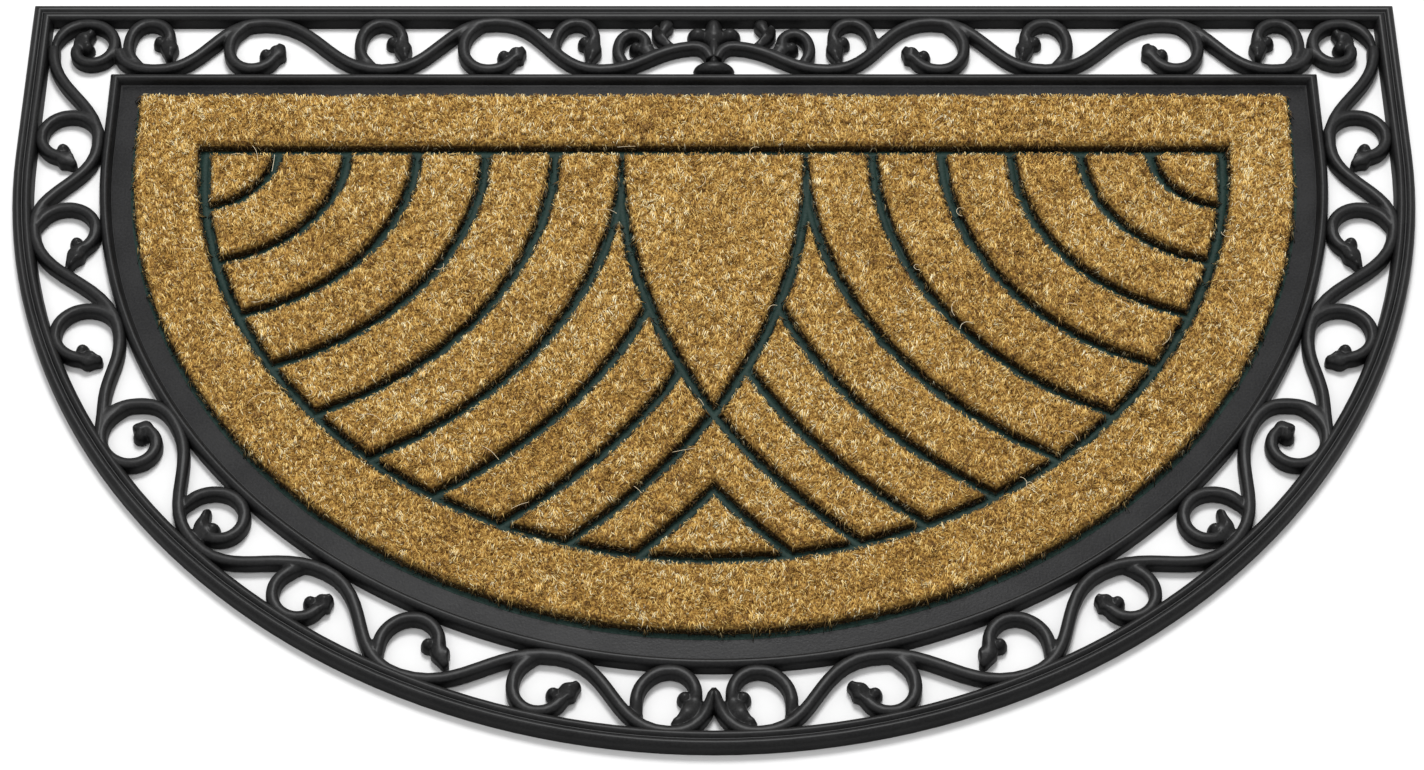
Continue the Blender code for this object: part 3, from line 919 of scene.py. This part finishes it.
def coir_fibre_finish():
    material, tree, shader = new_finish("coir_fibre", roughness=0.62, shine=0.3)
    tone = tree.nodes.new("ShaderNodeAttribute")
    tone.attribute_name = "tone"
    tip = tree.nodes.new("ShaderNodeAttribute")
    tip.attribute_name = "tip"
    patches = use_group(tree, patches_group, **FIBRE_PATCHES)
    shift = math_node(tree, "SUBTRACT", patches.outputs["Value"], 0.5)
    colour = ramp_colour(tree, math_node(tree, "ADD", tone.outputs["Fac"], shift), COIR_TONES)
    # Painted shade: each fibre is darker towards its root and lower down in the pile.
    along = math_node(tree, "MULTIPLY_ADD", tip.outputs["Fac"], 1.0 - PAINTED_ROOT_SHADE, PAINTED_ROOT_SHADE)
    depth = use_group(tree, painted_shade_group, **FIBRE_PAINTED_SHADE)
    painted_shade = math_node(tree, "MULTIPLY", along, depth.outputs["Value"])
    tree.links.new(darkened(tree, colour, painted_shade), shader.inputs["Base Color"])
    return material


def coir_body_finish():
    material, tree, shader = new_finish("coir_body", roughness=0.85, shine=0.15)
    streaks = noise_node(tree, detail=3.0)
    streaks.inputs["Scale"].default_value = STREAK_SCALE
    lifted = math_node(tree, "SUBTRACT", streaks.outputs["Fac"], STREAK_LOW)
    colour = ramp_colour(tree, math_node(tree, "MULTIPLY", lifted, STREAK_GAIN), COIR_TONES)
    # Painted shade: the body is darker lower down in the pile.
    depth = use_group(tree, painted_shade_group, **BODY_PAINTED_SHADE)
    shaded = darkened(tree, colour, depth.outputs["Value"])
    tree.links.new(shaded, shader.inputs["Base Color"])
    add_bump(tree, shader, streaks.outputs["Fac"], STREAK_HEIGHT, strength=1.0)
    return material


def loose_fibre_finish():
    material, tree, shader = new_finish("loose_fibre", roughness=0.5)
    patches = use_group(tree, patches_group, **LOOSE_PATCHES)
    colour = ramp_colour(tree, patches.outputs["Value"], LOOSE_TONES)
    tree.links.new(colour, shader.inputs["Base Color"])
    return material


coir_fibre = coir_fibre_finish()
coir_body = coir_body_finish()
loose_fibre = loose_fibre_finish()
print("coir finishes:", coir_fibre.name, "-", coir_body.name, "-", loose_fibre.name)

# %% [markdown]
# ## Bodies of the coir panels
#
# A panel is a dense brush. Its inside never shows, so each panel has a plain closed body a little
# smaller than its solid, and the fibres grow out of that. The body is a copy of the solid, merged
# and drawn in along its normals. Its top is pushed down, which leaves the fibres room to show their
# length, and its foot is set back on the tray.

# %% Model the bodies
BODY_SHRINK = 1.3
BODY_TOP_DROP = 1.7
SHOULDER_HEIGHT = 10.0  # what lies higher is the top of the body
FOOT_REACH = 0.5  # what lies no higher than this over the lowest point is its foot


def coir_body_of(node_name):
    """A copy of the panel's solid, drawn in and standing on the tray."""
    start_with_nothing_selected()
    source = nodes[node_name]
    body = source.copy()
    body.data = source.data.copy()
    body.parent = None
    for key in list(body.keys()):
        del body[key]
    body.name = f"{node_name}_body"
    bpy.context.scene.collection.objects.link(body)
    edit(body)
    bpy.ops.mesh.remove_doubles(threshold=0.00001)
    bpy.ops.transform.shrink_fatten(value=-BODY_SHRINK * MM)
    stop_editing()
    foot = min(vert.co.z for vert in body.data.vertices)
    for vert in body.data.vertices:
        if vert.co.z < foot + FOOT_REACH * MM:
            vert.co.z = TRAY_HEIGHT * MM
        elif vert.co.z > SHOULDER_HEIGHT * MM:
            vert.co.z -= BODY_TOP_DROP * MM
    give(body, coir_body)
    return body


coir_names = sorted(name for name in nodes if name.startswith("coir_"))
bodies = {name: coir_body_of(name) for name in coir_names}
print(f"{len(bodies)} panel bodies")

# %% [markdown]
# ## Fibres
#
# Every fibre is a thin wedge with a blunt end: a short edge at its foot and one across it at its
# tip, four triangles in all, because there are hundreds of thousands of them. Points are scattered
# over a panel's solid, more thickly on its top than on its walls, and each is a fibre's tip. The
# fibres stand in small tufts. Those of one tuft lean alike, have nearly one tone and draw together.
# At the edges of a panel they lean outwards and stand lower, which rounds the pile off. The arrays
# go into one mesh for each panel, and into two for the long band.

# %% Scatter the fibres
FIBRES_TOP = 1.22  # for each square millimetre of a panel's top
FIBRES_WALL = 0.58
FIBRE_RADIUS = 0.25
RADIUS_RANGE = (0.65, 1.35)  # factors, from the thinnest fibre to the thickest
TIP_THINNING = 0.7
FIBRE_LENGTH = 5.6
LENGTH_RANGE = (0.8, 1.2)
LEAST_LENGTH = 1.0
FOOT_GAP = 0.2  # feet stay this far above the tray
TIP_SINK = 0.45  # tips end this far below the solid's face on average
SINK_SPREAD = 0.35
SINK_RANGE = (-0.6, 2.0)
TUFT_SIZE = 2.6
TUFT_LEAN = 0.52
TUFT_DRAW = 0.25  # how strongly fibres lean towards the middle of their tuft
TUFT_RISE = 2.0  # from the lowest tufts to the highest
FIBRE_LEAN = 0.30
EDGE_LEAN = 0.42
EDGE_ROUNDING = 5.5  # how far in from a wall the pile is still lower
EDGE_DROP = 3.0
TONE_MIDDLE, TUFT_TONE, FIBRE_TONE = 0.48, 0.7, 0.25  # middle, and spread by tuft and by fibre
TOP_SLOPE, FOOT_SLOPE, WALL_SLOPE = 0.9, -0.5, 0.1  # a normal's height tells the face's place


def tuft_table(rng, size=512):
    """Random numbers for a grid of tufts: two for the place, two for the lean, tone and height."""
    table = rng.random((size, size, 6))
    angle = table[..., 2] * 2 * pi
    strength = TUFT_LEAN * (0.35 + 0.9 * table[..., 3])
    table[..., 2] = strength * np.cos(angle)
    table[..., 3] = strength * np.sin(angle)
    return table


def tuft_of(points, table):
    """For each point, the row of the table of its nearest tuft, and the way to that tuft."""
    size = len(table)
    spots = points[:, :2] / (TUFT_SIZE * MM)
    cells = np.floor(spots).astype(int)
    nearest = np.full(len(points), np.inf)
    rows = np.zeros((len(points), 6))
    way = np.zeros((len(points), 2))
    for step_x in (-1, 0, 1):
        for step_y in (-1, 0, 1):
            cell = cells + (step_x, step_y)
            row = table[cell[:, 0] % size, cell[:, 1] % size]
            offset = cell + row[:, :2] - spots
            distance = (offset**2).sum(axis=1)
            closer = distance < nearest
            nearest[closer] = distance[closer]
            rows[closer] = row[closer]
            way[closer] = offset[closer]
    return rows, way


def faces_of(node):
    """Corners, normals and areas of a solid's triangles, as arrays."""
    mesh = node.data
    mesh.calc_loop_triangles()
    points = np.empty(len(mesh.vertices) * 3)
    mesh.vertices.foreach_get("co", points)
    corners = np.empty(len(mesh.loop_triangles) * 3, dtype=np.int64)
    mesh.loop_triangles.foreach_get("vertices", corners)
    triangles = points.reshape(-1, 3)[corners.reshape(-1, 3)]
    cross = np.cross(triangles[:, 1] - triangles[:, 0], triangles[:, 2] - triangles[:, 0])
    length = np.linalg.norm(cross, axis=1)
    return triangles, cross / np.maximum(length, 1e-15)[:, None], length / 2


def scatter(node, rng):
    """Fibre tips on the solid's faces, and the normals there."""
    triangles, normals, areas = faces_of(node)
    share = np.where(normals[:, 2] > TOP_SLOPE, FIBRES_TOP, FIBRES_WALL)
    share = np.where(normals[:, 2] < FOOT_SLOPE, 0.0, share)
    wanted = areas * share / MM**2
    count = int(wanted.sum())
    chosen = rng.choice(len(areas), size=count, p=wanted / wanted.sum())
    u, v = rng.random((2, count))
    folded = u + v > 1.0
    u, v = np.where(folded, 1 - u, u), np.where(folded, 1 - v, v)
    corner = triangles[chosen]
    tips = (
        corner[:, 0]
        + u[:, None] * (corner[:, 1] - corner[:, 0])
        + v[:, None] * (corner[:, 2] - corner[:, 0])
    )
    return tips, normals[chosen]


def wall_distance(spots, node):
    """How far each point is from the panel's nearest wall, seen from above."""
    triangles, normals, _ = faces_of(node)
    foot = triangles[..., 2].min() + FOOT_REACH * MM
    nearest = np.full(len(spots), np.inf)
    for corners in triangles[abs(normals[:, 2]) < WALL_SLOPE]:
        low = corners[corners[:, 2] < foot][:, :2]
        if len(low) == 2:
            run = low[1] - low[0]
            share = np.clip((spots - low[0]) @ run / (run @ run), 0.0, 1.0)
            gap = np.linalg.norm(spots - low[0] - share[:, None] * run, axis=1)
            nearest = np.minimum(nearest, gap)
    return nearest


def unit(vectors):
    return vectors / np.linalg.norm(vectors, axis=1)[:, None]


def wedges(tips, normals, from_wall, rng, table):
    """Vertices of the fibres, two at each foot and two at each tip, and the fibres' tones."""
    count = len(tips)
    rows, way = tuft_of(tips, table)
    lean = np.ones((count, 3))
    for axis in (0, 1):
        lean[:, axis] = (
            rows[:, 2 + axis]
            + TUFT_DRAW * way[:, axis]
            + rng.normal(0.0, FIBRE_LEAN, count)
            + EDGE_LEAN * normals[:, axis]
        )
    direction = unit(lean)
    sink = rng.normal(TIP_SINK, SINK_SPREAD, count) + TUFT_RISE * (rows[:, 5] - 0.5)
    tips = tips - normals * (np.clip(sink, *SINK_RANGE) * MM)[:, None]
    inward = np.clip(1.0 - from_wall / (EDGE_ROUNDING * MM), 0.0, 1.0)
    rounded = EDGE_DROP * (1.0 - np.sqrt(1.0 - inward**2))
    above_foot = (tips[:, 2] / MM - TRAY_HEIGHT) / (PILE_TOP - TRAY_HEIGHT)
    tips[:, 2] -= rounded * np.clip(above_foot, 0.0, 1.0) * MM
    length = rng.uniform(*LENGTH_RANGE, count) * FIBRE_LENGTH * MM
    room = (tips[:, 2] - (TRAY_HEIGHT + FOOT_GAP) * MM) / direction[:, 2]
    length = np.minimum(length, np.maximum(room, LEAST_LENGTH * MM))
    feet = tips - direction * length[:, None]
    across = unit(np.cross(direction, rng.normal(0.0, 1.0, (count, 3))))
    other = np.cross(direction, across)
    radius = (rng.uniform(*RADIUS_RANGE, count) * FIBRE_RADIUS * MM)[:, None]
    blunt = TIP_THINNING * radius * other
    ends = [feet + radius * across, feet - radius * across, tips + blunt, tips - blunt]
    tones = TONE_MIDDLE + TUFT_TONE * (rows[:, 4] - 0.5) + rng.normal(0.0, FIBRE_TONE, count)
    return np.stack(ends, axis=1), np.clip(tones, 0.0, 1.0)


def fibre_mesh(name, points, tones):
    """One mesh of fibres, with each fibre's tone and the place along it stored."""
    count = len(points)
    faces = np.array([[0, 1, 2], [0, 3, 1], [0, 2, 3], [1, 3, 2]])
    corners = (faces[None] + 4 * np.arange(count)[:, None, None]).reshape(-1)
    mesh = bpy.data.meshes.new(name)
    mesh.vertices.add(4 * count)
    mesh.vertices.foreach_set("co", points.ravel())
    mesh.loops.add(len(corners))
    mesh.loops.foreach_set("vertex_index", corners)
    mesh.polygons.add(len(corners) // 3)
    mesh.polygons.foreach_set("loop_start", np.arange(0, len(corners), 3))
    mesh.update(calc_edges=True)
    tone = mesh.attributes.new("tone", "FLOAT", "POINT")
    tone.data.foreach_set("value", np.repeat(tones, 4).astype(np.float32))
    tip = mesh.attributes.new("tip", "FLOAT", "POINT")
    tip.data.foreach_set("value", np.tile([0.0, 0.0, 1.0, 1.0], count).astype(np.float32))
    mesh.materials.append(coir_fibre)
    return add_object(name, mesh)


MOST_FIBRES = 45000  # in one piece, so that a piece has at most 180,000 triangles
rng = np.random.default_rng(11)
table = tuft_table(rng)
piles = {}
for name in coir_names:
    tips, normals = scatter(nodes[name], rng)
    from_wall = wall_distance(tips[:, :2], nodes[name])
    points, tones = wedges(tips, normals, from_wall, rng, table)
    order = np.argsort(points[:, 3, 0])
    parts = np.array_split(order, -(-len(order) // MOST_FIBRES))
    piles[name] = [
        fibre_mesh(f"{name}_pile_{k + 1}", points[part], tones[part])
        for k, part in enumerate(parts)
    ]
fibre_count = sum(len(p.data.polygons) // 4 for pile in piles.values() for p in pile)
print(f"{fibre_count} fibres, {4 * fibre_count} triangles, {sum(map(len, piles.values()))} pieces")

# %% [markdown]
# ## Loose fibres
#
# A few pale fibres have worked loose and lie curled on the pile. Each is a thin bent wire: a curve
# of eight short steps with a little thickness, made a mesh afterwards.

# %% Lay the loose fibres
LOOSE_FIBRES = 70
LOOSE_THICKNESS = 0.11  # radius
LOOSE_HEIGHT = 14.2
LOOSE_RISE = 0.75  # of a fibre's middle over its ends
LOOSE_STEPS = 8
LOOSE_STEP_RANGE = (0.6, 1.7)
LOOSE_BEND = 0.28  # radians for each step
LOOSE_HALF_WIDTH, LOOSE_TOP, LOOSE_BOTTOM = 300.0, 80.0, 392.0  # the box they start in
LOOSE_ELLIPSE = (304.0, 290.0)  # its rounded corners, half width and depth


def draw_loose_fibre(name, start, rng):
    """A thin pale fibre that bends as it goes."""
    turn, bend = rng.uniform(0, 2 * pi), rng.normal(0.0, LOOSE_BEND)
    step = rng.uniform(*LOOSE_STEP_RANGE)
    x, y = start
    points = []
    for k in range(LOOSE_STEPS + 1):
        points.append(place(x, y, LOOSE_HEIGHT + LOOSE_RISE * sin(pi * k / LOOSE_STEPS)))
        x, y = x + step * cos(turn), y - step * sin(turn)
        turn += bend
    curve, _ = line_curve(name, "3D", points)
    curve.bevel_depth = LOOSE_THICKNESS * MM
    curve.bevel_resolution = 0
    curve.use_fill_caps = True
    pick(add_object(name, curve))
    bpy.ops.object.convert(target="MESH")
    return bpy.context.object


def loose_start(rng):
    """A random point on the coir, at least 12 mm in from its edge."""
    while True:
        x = rng.uniform(-LOOSE_HALF_WIDTH, LOOSE_HALF_WIDTH)
        y = rng.uniform(LOOSE_TOP, LOOSE_BOTTOM)
        below = max(0.0, y - SIDE_END)
        if (x / LOOSE_ELLIPSE[0]) ** 2 + (below / LOOSE_ELLIPSE[1]) ** 2 < 1.0:
            return x, y


loose = join(
    [draw_loose_fibre(f"loose_{k}", loose_start(rng), rng) for k in range(LOOSE_FIBRES)],
    "coir_loose_fibres",
)
give(loose, loose_fibre)
print(f"{LOOSE_FIBRES} loose fibres, {triangles_of(loose)} triangles")

# %% [markdown]
# ## Floor and light
#
# The floor is plain and pale. It is paler to the camera than to the light that bounces off it,
# because light thrown back from a white floor would wash out the dark walls of the rubber. The
# light is soft and comes mostly from behind the mat, so the walls that face the viewer are dark and
# the scroll lays a faint shadow towards the viewer.

# %% Make the floor and the lamps
FLOOR_SIZE = 12.0  # metres, as are the lamps' places and sizes
FLOOR_DROP = 0.0002
FLOOR_TO_LIGHT = 0.40
FLOOR_TO_CAMERA = 0.74
SKY = 0.75
# name, place, size, power in watts
LAMPS = (
    ("key", (0.0, 1.3, 2.7), 0.9, 74.0),
    ("fill", (-1.2, -0.6, 2.6), 1.6, 10.0),
)

start_with_nothing_selected()
bpy.ops.mesh.primitive_plane_add(size=FLOOR_SIZE, location=(0, 0, -FLOOR_DROP))
floor = bpy.context.object
floor.name = "floor"
floor_material, floor_tree, floor_shader = new_finish("floor", roughness=0.9, shine=0.1)
ray = floor_tree.nodes.new("ShaderNodeLightPath")
pale = floor_tree.nodes.new("ShaderNodeMix")
pale.data_type = "RGBA"
pale.inputs["A"].default_value = (*[FLOOR_TO_LIGHT] * 3, 1.0)
pale.inputs["B"].default_value = (*[FLOOR_TO_CAMERA] * 3, 1.0)
floor_tree.links.new(ray.outputs["Is Camera Ray"], pale.inputs["Factor"])
floor_tree.links.new(pale.outputs["Result"], floor_shader.inputs["Base Color"])
give(floor, floor_material)

world = bpy.data.worlds.new("studio")
world.use_nodes = True
background = world.node_tree.nodes["Background"]
background.inputs["Color"].default_value = (1.0, 1.0, 1.0, 1.0)
background.inputs["Strength"].default_value = SKY
bpy.context.scene.world = world


def add_lamp(name, spot, size, power):
    """A round lamp that points at the middle of the mat."""
    data = bpy.data.lights.new(name, "AREA")
    data.shape = "DISK"
    data.size = size
    data.energy = power
    lamp = add_object(name, data)
    lamp.location = spot
    x, y, z = spot
    lamp.rotation_euler = (atan2(hypot(x, y), z), 0.0, atan2(-y, -x) - pi / 2)


for row in LAMPS:
    add_lamp(*row)
bpy.context.scene.view_settings.view_transform = "Standard"
print(f"floor, studio light and {len(LAMPS)} lamps")

# %% [markdown]
# ## Attach the pieces
#
# Every piece moves with the mat's one body. The rubber pieces stand for the rubber solid, and each
# panel's body stands for its solid. Each panel's width and its foot's area are worked out too, but
# nothing uses them: the flat size a panel would be cut to is its width by its middle length, its
# foot's area over the width. The first strips and the triangle taper to a point, so their width is
# the size across instead.

# %% Attach everything to the imported model
for piece in (rim, tray, bed, scroll_left, scroll_right, crest, ribs):
    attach(piece, "root")
    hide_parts("rubber_base")

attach(loose, "root")

PANEL_WIDTHS = {
    "coir_band": 0.0385,
    "coir_petal": 0.099,
    "coir_chevron": 0.0235,
    "coir_triangle": 0.067,
}
FOOT_FACES = -0.9
STRIP_RINGS = RING_RADII[: PETAL_RING + 1]
for number, (inner, outer) in enumerate(zip((0.0, *STRIP_RINGS), STRIP_RINGS), start=1):
    gap = GROOVE / 2 if number == 1 else GROOVE
    for side in ("left", "right"):
        PANEL_WIDTHS[f"coir_{side}_{number}"] = (outer - inner - gap) * MM


def foot_area(node):
    _, normals, areas = faces_of(node)
    return float(areas[normals[:, 2] < FOOT_FACES].sum())


for name in coir_names:
    for piece in (bodies[name], *piles[name]):
        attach(piece, "root")
    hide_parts(name)
    area, width = foot_area(nodes[name]), PANEL_WIDTHS[name]

# %% [markdown]
# ## The end
#
# A last line says that the script has run to its end. The dressed mat has to stay in the imported
# model's box, apart from what the pile may stand proud.

# %% Finish
print("finished")
